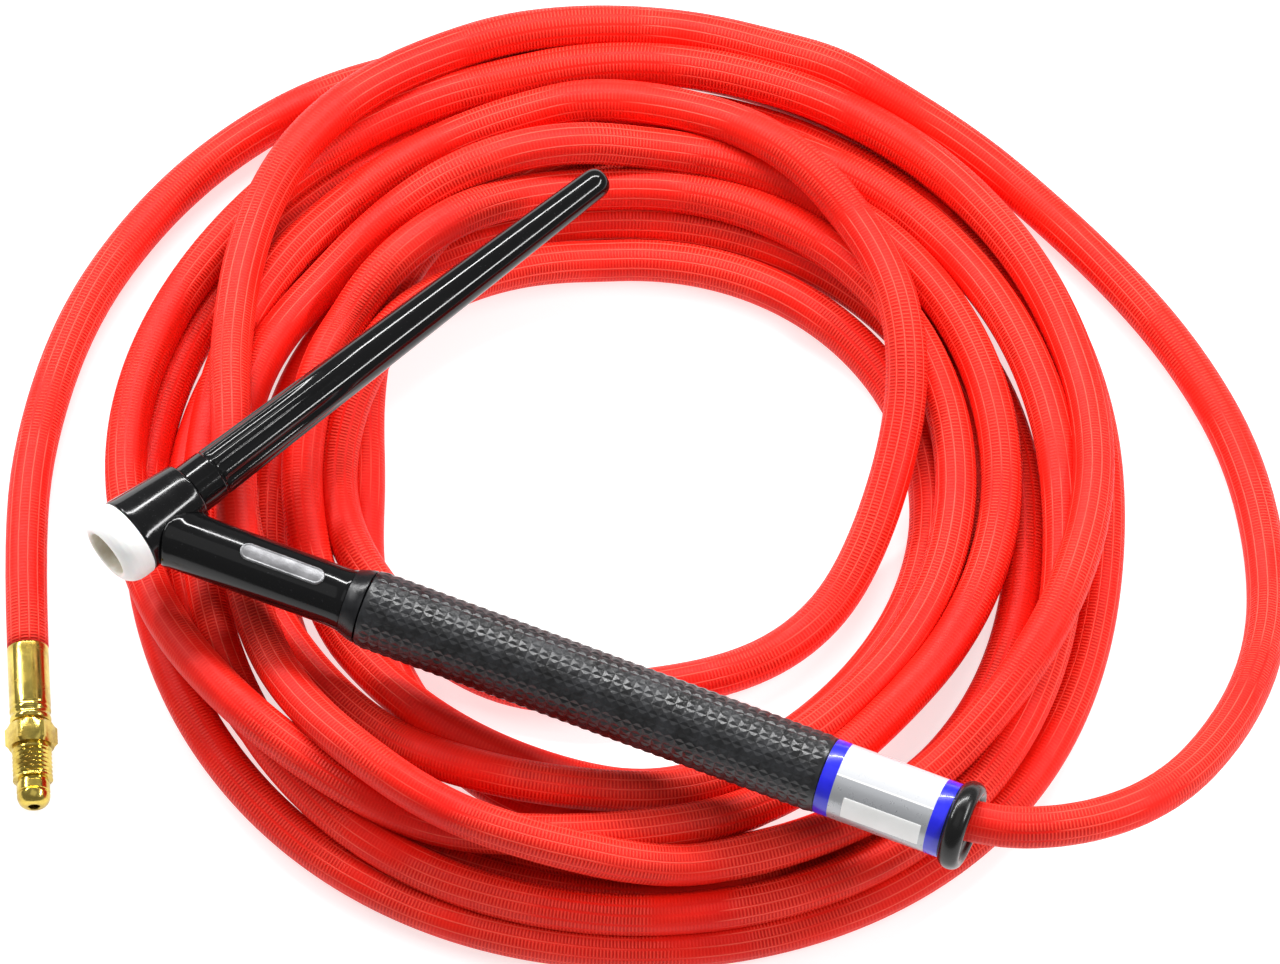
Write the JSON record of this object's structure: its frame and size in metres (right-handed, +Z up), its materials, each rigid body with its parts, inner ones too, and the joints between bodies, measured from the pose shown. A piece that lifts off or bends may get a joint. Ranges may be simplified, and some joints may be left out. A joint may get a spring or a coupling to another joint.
{
  "type": "tig welding torch",
  "caption": "Gas-cooled TIG torch with a flexible neck, a long back cap, a knurled grip and a loosely coiled red woven cable that ends in a brass gas and power fitting.",
  "frame": {"origin": "where the head's axis crosses the handle's axis, on the collet body thread", "axes": "+X along the handle towards the cable, +Z up from the surface that the coil lies on, and the back cap leans over the handle in the XY plane, 62 degrees from +X towards +Y"},
  "size_m": [0.3515, 0.2895, 0.0585],
  "materials": {
    "brass": "polished turned brass",
    "copper": "drawn annealed copper",
    "phenolic_black": "glossy moulded phenolic",
    "sleeve_black": "glossy silicone rubber",
    "satin_black": "satin moulded plastic",
    "bush_nylon": "natural nylon",
    "rubber_black": "matt rubber with a knurl of small pyramids",
    "ring_rubber": "glossy rubber",
    "seal_rubber": "satin rubber",
    "ptfe_white": "smooth white PTFE",
    "badge_metal": "satin gunmetal",
    "label_silver": "silver printed film",
    "label_blue": "blue printed film",
    "clear_film": "clear glossy film",
    "cable_red": "woven red nylon cover"
  },
  "bodies": {
    "handle": {"neck_collar": "satin_black", "tube_coupling": "brass", "rear_tube": "copper", "handle_tube": "satin_black", "handle_grip": "rubber_black", "handle_label": "label_silver", "label_bands": "label_blue", "label_film": "clear_film", "handle_end_ring": "ring_rubber", "front_bush": "bush_nylon", "middle_bush": "bush_nylon", "end_bush": "bush_nylon", "tail_fitting": "brass", "cable_nut": "brass", "cable_nipple": "brass", "clamp_ferrule": "brass", "cable_lead": "cable_red", "cable_coil": "cable_red", "cable_tail": "cable_red", "machine_end_ferrule": "brass", "machine_end_fitting": "brass"},
    "neck": {"neck_sleeve": "sleeve_black", "neck_flex_tube": "copper", "neck_badge": "badge_metal"},
    "head": {"head_core": "brass", "head_jacket": "phenolic_black", "cup_gasket": "ptfe_white"},
    "cap_seal": {"cap_o_ring": "seal_rubber"},
    "cap": {"cap_body": "phenolic_black", "cap_thread_insert": "brass"}
  },
  "joints": [
    {"name": "neck_lift", "type": "hinge", "parent": "handle", "child": "neck", "pos_m": [0.057, 0, 0], "axis": [0, 1, 0], "range_deg": [0, 20], "deforming": ["neck_sleeve", "neck_flex_tube"]},
    {"name": "neck_swing", "type": "hinge", "parent": "neck", "child": "head", "pos_m": [0.02, 0, 0], "axis": [0, 0, 1], "range_deg": [-20, 20], "deforming": ["neck_sleeve", "neck_flex_tube"]},
    {"name": "cap_travel", "type": "slide", "parent": "head", "child": "cap_seal", "axis": [0.4695, 0.8829, 0], "range_m": [0, 0.0055]},
    {"name": "cap_turn", "type": "hinge", "parent": "cap_seal", "child": "cap", "pos_m": [0.00939, 0.01766, 0], "axis": [0.4695, 0.8829, 0], "range_deg": [0, 1980.5]}
  ],
  "couplings": [
    {"joint": "cap_turn", "follows": "cap_travel", "rad_per_m": 6283.2}
  ]
}
